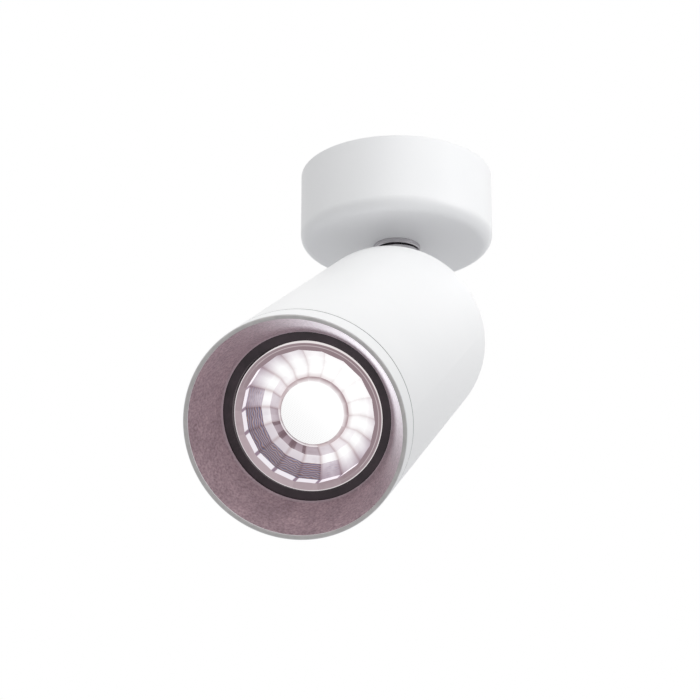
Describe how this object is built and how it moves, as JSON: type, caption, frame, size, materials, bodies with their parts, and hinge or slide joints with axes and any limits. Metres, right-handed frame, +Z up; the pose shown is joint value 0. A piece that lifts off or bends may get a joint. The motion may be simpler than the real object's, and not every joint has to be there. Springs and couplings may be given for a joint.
{
  "type": "surface mounted ceiling spotlight",
  "caption": "White cylindrical spotlight head on a swivel and tilt joint under a round ceiling canopy, with a recessed faceted lens behind a grey glare baffle.",
  "frame": {"origin": "centre of the canopy on the ceiling plane", "axes": "+Z up into the ceiling, along the canopy's axis and the pan joint; the lamp head points mostly along -Y and down"},
  "size_m": [0.1094, 0.2021, 0.19],
  "materials": {
    "white_paint": "satin powder coat",
    "white_aluminium": "satin powder coat",
    "satin_nickel": "turned and satin plated",
    "zinc_steel": "zinc plated",
    "brass": "bare",
    "bare_aluminium": "die cast",
    "baffle_paint": "matt textured coat",
    "black_plastic": "fine matt",
    "white_plastic": "fine matt",
    "cream_plastic": "moulded",
    "circuit_board": "solder mask",
    "lead_insulation": "extruded",
    "seal_rubber": "matt",
    "clear_lens": "polished acrylic",
    "lit_phosphor": "lit light source"
  },
  "bodies": {
    "ceiling_base": {"canopy_cup": "white_paint", "mounting_plate": "zinc_steel", "canopy_grub_screws": "zinc_steel", "terminal_block": "cream_plastic", "terminal_sleeves": "brass", "terminal_screws": "zinc_steel", "block_screw": "zinc_steel", "earth_screw": "brass", "supply_leads": "lead_insulation", "swivel_nipple": "satin_nickel", "stop_pin": "zinc_steel", "lock_washer": "zinc_steel", "nipple_locknut": "zinc_steel", "retaining_nut": "zinc_steel"},
    "swivel_arm": {"swivel_sleeve": "satin_nickel", "pan_washer": "black_plastic", "wave_washer": "zinc_steel", "swivel_fork": "satin_nickel", "tilt_barrel": "satin_nickel", "tilt_screw": "satin_nickel", "tilt_washers": "black_plastic"},
    "lamp_head": {"rear_cap": "white_aluminium", "rear_cap_screws": "zinc_steel", "head_tube": "white_aluminium", "driver_carrier": "zinc_steel", "carrier_screws": "zinc_steel", "driver_case": "white_plastic", "driver_lid": "white_plastic", "driver_board": "circuit_board", "driver_screws": "zinc_steel", "input_leads": "lead_insulation", "heat_sink": "bare_aluminium", "heat_sink_screws": "zinc_steel", "cob_board": "bare_aluminium", "led_disc": "lit_phosphor", "led_leads": "lead_insulation", "cob_holder": "white_plastic", "cob_screws": "zinc_steel", "lens_holder": "black_plastic", "lens_optic": "clear_lens", "baffle": "baffle_paint", "front_ring": "white_aluminium", "seal_ring": "seal_rubber"}
  },
  "joints": [
    {"name": "pan", "type": "hinge", "parent": "ceiling_base", "child": "swivel_arm", "pos_m": [0, 0, -0.036], "axis": [0, 0, 1], "range_deg": [-156.7, 183.3]},
    {"name": "tilt", "type": "hinge", "parent": "swivel_arm", "child": "lamp_head", "pos_m": [0, 0, -0.06915], "axis": [-0.9732, 0.23, 0], "range_deg": [-58.7, 31.3]}
  ]
}
